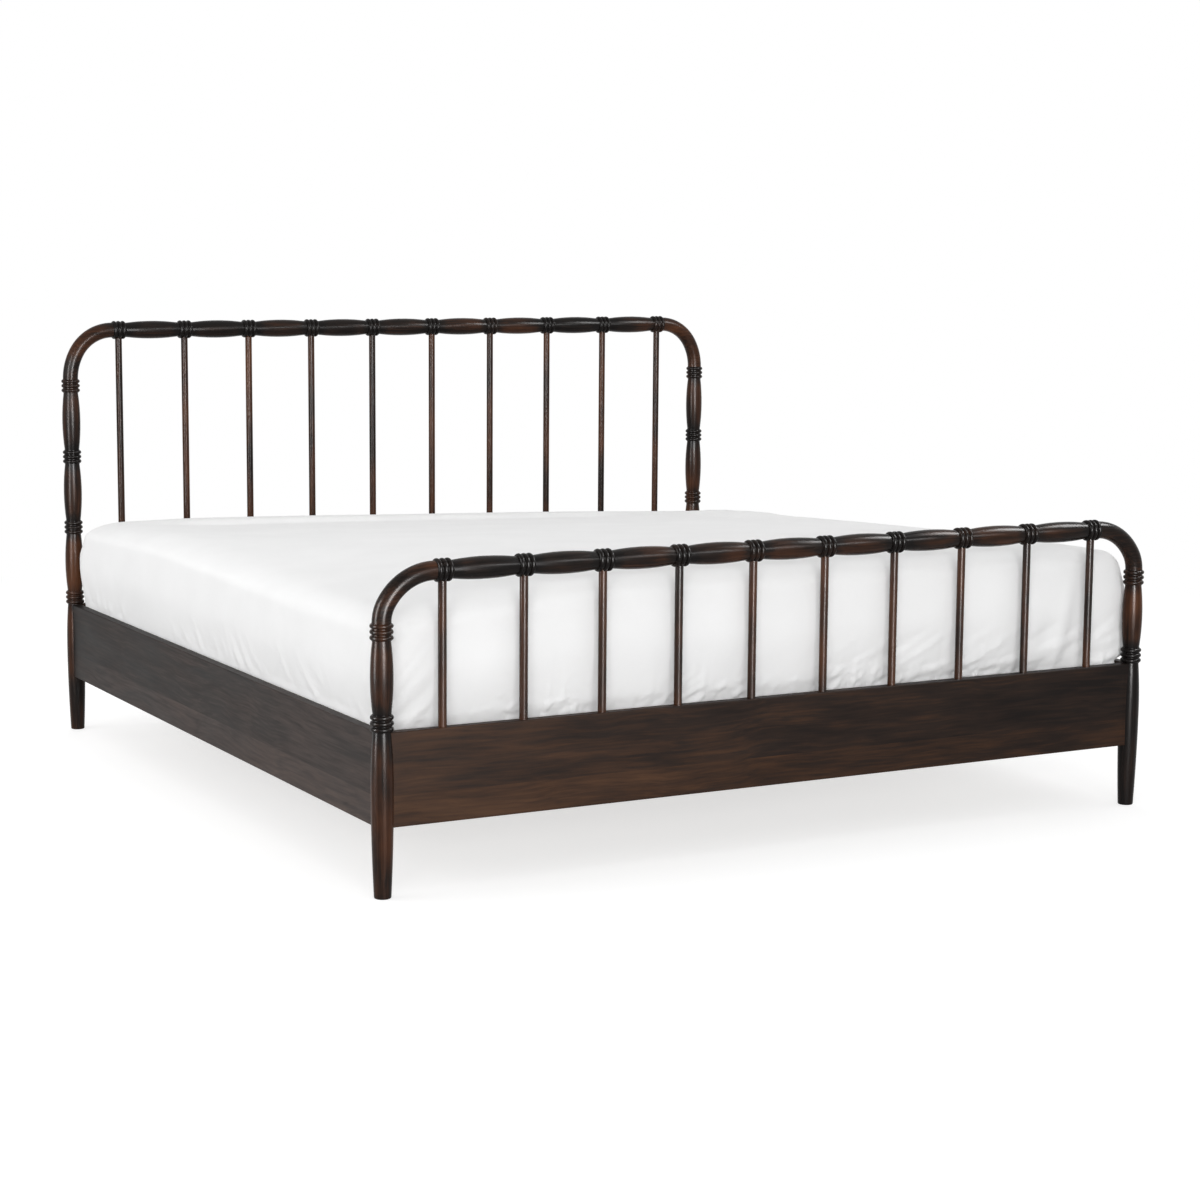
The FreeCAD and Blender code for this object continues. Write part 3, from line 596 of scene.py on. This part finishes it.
def box_skin(low, high, steps, hem=None):
    """Points and faces of a box's skin in a grid, open below inside a hem if it has one."""
    counts = [round((b - a) / step) for a, b, step in zip(low, high, steps)]
    rim = counts if hem is None else [round(hem / step) for step in steps]
    index = {}
    quads = []

    def hidden(i, j):
        return all(rim[k] <= c < counts[k] - rim[k] for k, c in enumerate((i, j)))

    for axis in range(3):
        u, v = (axis + 1) % 3, (axis + 2) % 3
        for side in (0, counts[axis]):
            for i in range(counts[u]):
                for j in range(counts[v]):
                    if axis == 2 and side == 0 and hidden(i, j):
                        continue
                    quad = []
                    for du, dv in ((0, 0), (1, 0), (1, 1), (0, 1)):
                        key = [side, side, side]
                        key[u] = i + du
                        key[v] = j + dv
                        quad.append(index.setdefault(tuple(key), len(index)))
                    quads.append(quad if side else quad[::-1])
    share = np.array(list(index), float) / counts
    return low + share * (high - low), quads


def rounded(points, low, high, edge):
    """The box's corners and edges rounded by a radius along each axis, with its own one below."""
    below = np.column_stack([edge[:, :2], np.full(len(points), LOW_RADIUS)])
    core = np.clip(points, low + below, high - edge)
    away = points - core
    radius = np.where(away > 0, edge, below)
    unit = away / radius
    return core + unit / np.linalg.norm(unit, axis=1)[:, None] * radius


def step_up(value, low, high):
    """A smooth step from nothing to one."""
    share = np.clip((value - low) / (high - low), 0, 1)
    return share * share * (3 - 2 * share)


def plateau(value, rising, falling):
    """Nothing, one between the two steps, and nothing again."""
    return step_up(value, *rising) * (1 - step_up(value, *falling))


def near(value, middle_place, reach):
    """One at the middle, falling softly to nothing at about twice the reach."""
    return np.exp(-((value - middle_place) / reach) ** 2)


def above_planks(z):
    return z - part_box("side_rail_left")[1].z


def softened(points, low, high):
    """The box with soft upper edges, which differ by place, over fuller corners."""
    foot = step_up(-points[:, 1] / high[1], *FOOT_EDGE_ALONG)[:, None]
    right = step_up(points[:, 0] / high[0], *RIGHT_EDGE_ACROSS)[:, None]
    edge = np.array(HEAD_EDGE) * (1 - foot) + np.array(FOOT_EDGE) * foot
    edge = edge * (1 - right) + np.array(RIGHT_EDGE) * right
    soft = rounded(points, low, high, edge)
    edge[:, :2] = CORNER_RADIUS
    full = rounded(points, low, high, edge)
    share = (points[:, 2] - low[2]) / (high[2] - low[2])
    return full + (soft - full) * step_up(share, *SOFT_TOP)[:, None]


def top_lift(across, along):
    """Rise of the top: a crown, fuller at the foot end, less its falls to the head and to the left edge."""
    lift = CROWN * (1 - across ** 2) + FOOT_CROWN * (1 - across ** 4) * step_up(-along, *FOOT_CROWN_ALONG)
    lift -= (HEAD_DROP + HEAD_LEAN * across) * np.clip((1 + along) / 2, 0, 1) ** HEAD_SLOPE
    lift -= SOFT_EDGE * step_up(-across, *SOFT_EDGE_ACROSS) * step_up(-along, *SOFT_EDGE_ALONG)
    left_corner = step_up(-across, *HEAD_CORNER_ACROSS) * step_up(along, *HEAD_CORNER_ALONG)
    return lift - HEAD_CORNER_DROP * left_corner


def side_swell(across, share, above, corner):
    """How far the sides swell over the planks, most at the right corner of the foot end."""
    swell = SIDE_BULGE * step_up(above, 0.0, BULGE_ABOVE - (BULGE_ABOVE - CORNER_ABOVE) * corner)
    swell += CORNER_BULGE * corner * step_up(above, *CORNER_BULGE_ABOVE)
    swell *= 1 - SHOULDER_LOSS * step_up(share, *SHOULDER)
    return swell * np.sign(across) * np.abs(across) ** FACE_POWER


def foot_tuck(along, share, above, corner):
    """How far the foot end is drawn in: tucked and pinched at the plank, and leaning above."""
    tuck = FOOT_TUCK * (1 - step_up(above, 0.0, TUCK_ABOVE)) + FOOT_LEAN * step_up(share, *LEAN_HEIGHT)
    tuck += FOOT_PINCH * (1 - step_up(above, *PINCH_ABOVE))
    return tuck * np.clip(-along, 0, 1) ** FACE_POWER * (1 - corner)


def bedded(points, low, high):
    """The mattress as it lies in the bed."""
    x, y, z = softened(points, low, high).T
    across = x / high[0]
    along = y / high[1]
    share = (z - low[2]) / (high[2] - low[2])
    above = above_planks(z)
    corner = step_up(across, *FULL_CORNER_ACROSS) * step_up(-along, *FULL_CORNER_ALONG)
    draw = across * SIDE_DRAW * np.cos(math.pi / 2 * along) ** 2
    return np.column_stack([
        x + side_swell(across, share, above, corner) - draw,
        y + foot_tuck(along, share, above, corner),
        z + share * top_lift(across, along),
    ])


def mattress_box(inset):
    """Low and high corner of the mattress before its crown, drawn in from the sheet's outside."""
    low, high = (np.array(corner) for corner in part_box("fitted_sheet"))
    low[:2] = -high[:2]
    high[2] -= CROWN
    return low + inset, high - inset


def soft_mesh(name, points, quads, material):
    mesh = bpy.data.meshes.new(name)
    mesh.from_pydata(points.tolist(), [], quads)
    mesh.polygons.foreach_set("use_smooth", [True] * len(quads))
    mesh.materials.append(material)
    piece = bpy.data.objects.new(name, mesh)
    bpy.context.scene.collection.objects.link(piece)
    return piece


def outward(points, quads):
    """Unit normals of a skin's points."""
    corners = points[np.array(quads)]
    face = np.cross(corners[:, 2] - corners[:, 0], corners[:, 3] - corners[:, 1])
    total = np.zeros_like(points)
    for k in range(4):
        np.add.at(total, np.array(quads)[:, k], face)
    return total / np.linalg.norm(total, axis=1)[:, None]


def waves(points, wave):
    """Smooth noise of a wave's height, its grain drawn out to the wave's sizes."""
    places = points / np.array(wave.sizes) + wave.seed
    return wave.height * np.array([noise.noise(Vector(place)) for place in places])


def ripples(run, rise, ripple):
    """Waves on an upright face whose crests lean at an angle from the level."""
    lean = math.radians(ripple.lean)
    c, s = math.cos(lean), math.sin(lean)
    flat = np.column_stack([rise * c - run * s, run * c + rise * s, np.zeros_like(run)])
    return waves(flat, Wave(ripple.height, (ripple.width, ripple.length, 1.0), ripple.seed))


def valleys(pattern, width):
    """Thin creases where a pattern passes through nought."""
    return -np.exp(-(pattern / width) ** 2)


def by_plank(z):
    """One at the planks' tops and under them, falling off above them."""
    return np.exp(-np.clip(above_planks(z), 0, None) / PUCKER_RISE)


def top_wrinkles(points):
    """Long shallow wrinkles and creases across the top, most of them near the head."""
    y = points[:, 1]
    creases = TOP_CREASE * valleys(waves(points, CREASES), TOP_CREASE_WIDTH)
    return step_up(y, *WRINKLES_ALONG) * waves(points, WRINKLES) + step_up(y, *CREASES_ALONG) * creases


def foot_folds(points):
    """Puckers along the plank, pleats on the right half, and folds at both corners of the foot end."""
    x, z = points[:, 0], points[:, 2]
    edge = np.abs(x).max()
    low = by_plank(z)
    patch = step_up(waves(points, PUCKER_PATCHES), *PATCH_EDGE)
    gather = ripples(x, z, PUCKERS) + ripples(x, z, CROSS_PUCKERS)
    total = PUCKER_HEIGHT * gather + PUCKER_CREASE * valleys(gather, PUCKER_CREASE_WIDTH)
    total *= low * (PATCH_LEAST + (1 - PATCH_LEAST) * patch)
    pleated = step_up(x, *PLEATS_ACROSS)
    total += low * pleated * ripples(x, z, LOW_PLEATS)
    total += near(z, *HIGH_PLEATS_NEAR) * pleated * ripples(x, z, HIGH_PLEATS)
    total += near(x, -edge, LEFT_CORNER_REACH) * ripples(x, z, LEFT_CORNER_FOLDS)
    hanging = step_up(HANGING_TOP - z, 0.0, HANGING_FADE) * near(x, *HANGING_NEAR)
    total += hanging * ripples(x, z, HANGING_FOLDS)
    total -= GROOVE_DEPTH * near(x, GROOVE_PLACE + GROOVE_SLANT * (z - GROOVE_LEVEL), GROOVE_WIDTH)
    return total + near(x, edge, RIGHT_CORNER_REACH) * ripples(x, z, RIGHT_CORNER_FOLDS)


def side_folds(points):
    """Creases low on the sides, and slanting ones round the corners of the foot end."""
    y, z = points[:, 1], points[:, 2]
    low = by_plank(z)
    gather = ripples(y, z, SIDE_PUCKERS)
    total = SIDE_PUCKER_HEIGHT * gather + SIDE_CREASE * valleys(gather, SIDE_CREASE_WIDTH)
    total *= low * step_up(-y, *SIDE_PUCKERS_FOOTWARD)
    total += low * step_up(y, *HEAD_PUCKERS_ALONG) * ripples(y, z, SIDE_PUCKERS_AT_HEAD)
    return total + near(y, *SIDE_CORNER_NEAR) * ripples(y, z, SIDE_CORNER_FOLDS)


def folds(points, normals):
    """How far the sheet stands off its smooth form."""
    above = above_planks(points[:, 2])
    total = waves(points, UNDULATION) * step_up(above, *UNDULATION_ABOVE)
    top = step_up(normals[:, 2], *TOP_FACING)
    foot = step_up(-normals[:, 1], *SIDE_FACING) * step_up(above, *FOOT_FOLDS_ABOVE)
    side = step_up(np.abs(normals[:, 0]), *SIDE_FACING) * step_up(above, *SIDE_FOLDS_ABOVE)
    for weight, shape in ((top, top_wrinkles), (foot, foot_folds), (side, side_folds)):
        here = weight > 0
        total[here] += weight[here] * shape(points[here])
    return np.clip(total, -FOLD_IN, FOLD_OUT)


def head_roll(points, normals):
    """The dip before a low roll along the head edge, and the sheet's slack by its right end."""
    x, y = points[:, 0], points[:, 1]
    crest = y.max() - ROLL_BACK + waves(points, ROLL_SWAY)
    before = 1 - step_up(y, crest - ROLL_SLOPE, crest)
    rise = -ROLL_HEIGHT * before * step_up(y, *ROLL_ALONG) * plateau(x, *ROLL_ACROSS)
    slack = plateau(y, *FLAP_ALONG)
    rise += slack * FLAP_RISE * plateau(x, *FLAP_ACROSS)
    rise -= slack * FLAP_GROOVE * near(x, *FLAP_GROOVE_NEAR)
    return rise * step_up(normals[:, 2], *LEVEL_FACING)


def make_mattress():
    low, high = mattress_box(MATTRESS_INSET)
    points, quads = box_skin(low, high, MATTRESS_STEPS)
    points = bedded(points, low, high)
    points[:, 2] += head_roll(points, outward(points, quads))
    piece = soft_mesh("mattress_body", points, quads, cotton("mattress_ticking", *TICKING))
    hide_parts("mattress")
    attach(piece, "bedding")
    return piece


def make_sheet(mattress):
    low, high = mattress_box(0.0)
    points, quads = box_skin(low, high, SHEET_STEPS, SHEET_HEM)
    points = bedded(points, low, high)
    normals = outward(points, quads)
    points += normals * folds(points, normals)[:, None]
    points[:, 2] += head_roll(points, normals)
    points[:, 1] = np.clip(points[:, 1], -END_REACH, END_REACH)
    piece = soft_mesh("fitted_sheet_cloth", points, quads, cotton("sheet_cotton", *LINEN))
    solid = piece.modifiers.new("cloth_layer", "SOLIDIFY")
    solid.thickness = SHEET_LAYER
    solid.offset = -1
    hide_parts("fitted_sheet")
    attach(piece, "bedding")


def direction(azimuth, elevation):
    """From the object towards a place that is seen at this angle; azimuth 0 is in front of the foot end."""
    level = math.cos(elevation)
    return Vector((math.sin(azimuth) * level, -math.cos(azimuth) * level, math.sin(elevation)))


def add_camera():
    data = bpy.data.cameras.new("camera")
    data.lens = CAMERA_LENS_MM
    data.sensor_width = SENSOR_MM
    back = direction(CAMERA_AZIMUTH, CAMERA_ELEVATION)
    level = Vector((0, 0, 1)).cross(back).normalized()
    upright = back.cross(level)
    c, s = math.cos(CAMERA_ROLL), math.sin(CAMERA_ROLL)
    right = level * c + upright * s
    turn = Matrix((right, back.cross(right), back)).transposed()
    camera = bpy.data.objects.new("camera", data)
    camera.matrix_world = Matrix.Translation(CAMERA_PLACE) @ turn.to_4x4()
    bpy.context.scene.collection.objects.link(camera)
    bpy.context.scene.camera = camera


def add_soft_box(name, azimuth, distance, height_of_middle, width, height, power):
    data = bpy.data.lights.new(name, "AREA")
    data.shape = "RECTANGLE"
    data.size = width
    data.size_y = height
    data.energy = power
    lamp = bpy.data.objects.new(name, data)
    lamp.location = direction(math.radians(azimuth), 0.0) * distance + Vector((0, 0, height_of_middle))
    toward = lamp.location - LIGHT_AIM
    lamp.rotation_euler = toward.to_track_quat("Z", "Y").to_euler()
    lamp.visible_camera = False
    bpy.context.scene.collection.objects.link(lamp)
    return lamp


def add_lights():
    for name, values in SOFT_BOXES.items():
        add_soft_box(name, *values)
    for name, values in FILL_BOXES.items():
        add_soft_box(name, *values).visible_glossy = False
    for name, values in GLOSS_BOXES.items():
        add_soft_box(name, *values).visible_diffuse = False


def by_ray(tree, lighting, seen):
    """One value for rays that light a surface, and another for those that show it, also mirrored."""
    path = tree.nodes.new("ShaderNodeLightPath")
    value = None
    for name in ("Is Camera Ray", "Is Glossy Ray", "Is Transmission Ray"):
        mix = tree.nodes.new("ShaderNodeMix")
        tree.links.new(path.outputs[name], mix.inputs[MIX_FACTOR])
        mix.inputs[MIX_SECOND].default_value = seen
        if value is None:
            mix.inputs[MIX_FIRST].default_value = lighting
        else:
            tree.links.new(value, mix.inputs[MIX_FIRST])
        value = mix.outputs[0]
    return value


def add_surroundings():
    """A white room that lights the object softly."""
    world = bpy.data.worlds.new("surroundings")
    world.use_nodes = True
    tree = world.node_tree
    background = tree.nodes["Background"]
    background.inputs["Color"].default_value = (1, 1, 1, 1)
    tree.links.new(by_ray(tree, AMBIENT, ROOM_WHITE), background.inputs["Strength"])
    bpy.context.scene.world = world


def floor_finish():
    """A white floor that keeps the object's shadow near it and fades into the room further off."""
    s = Shader("floor")
    matte = s.node("BsdfDiffuse", {"Color": (FLOOR_COLOUR,) * 3 + (1,)})
    lift = s.node("Emission", {"Strength": by_ray(s.tree, 0.0, FLOOR_LIFT)})
    shadowed = s.node("AddShader", {0: matte.outputs[0], 1: lift.outputs[0]}).outputs[0]
    white = s.node("Emission", {"Strength": ROOM_WHITE}).outputs[0]
    away = s.node("VectorMath", {0: s.place()}, operation="LENGTH").outputs["Value"]
    fade = s.math("MULTIPLY", s.span(away, *SHADOW_REACH, smooth=True), by_ray(s.tree, 0.0, 1.0))
    mixed = s.node("MixShader", {0: fade, 1: shadowed, 2: white}).outputs[0]
    s.tree.links.new(mixed, s.tree.nodes["Material Output"].inputs["Surface"])
    return s.material


def add_floor():
    half = FLOOR_SIZE / 2
    corners = [(-half, -half, 0), (half, -half, 0), (half, half, 0), (-half, half, 0)]
    mesh = bpy.data.meshes.new("floor")
    mesh.from_pydata(corners, [], [(0, 1, 2, 3)])
    mesh.materials.append(floor_finish())
    floor = bpy.data.objects.new("floor", mesh)
    bpy.context.scene.collection.objects.link(floor)


dress_turned()
dress_rest()
make_sheet(make_mattress())
add_camera()
add_lights()
add_surroundings()
add_floor()
bpy.context.scene.view_settings.view_transform = "Standard"
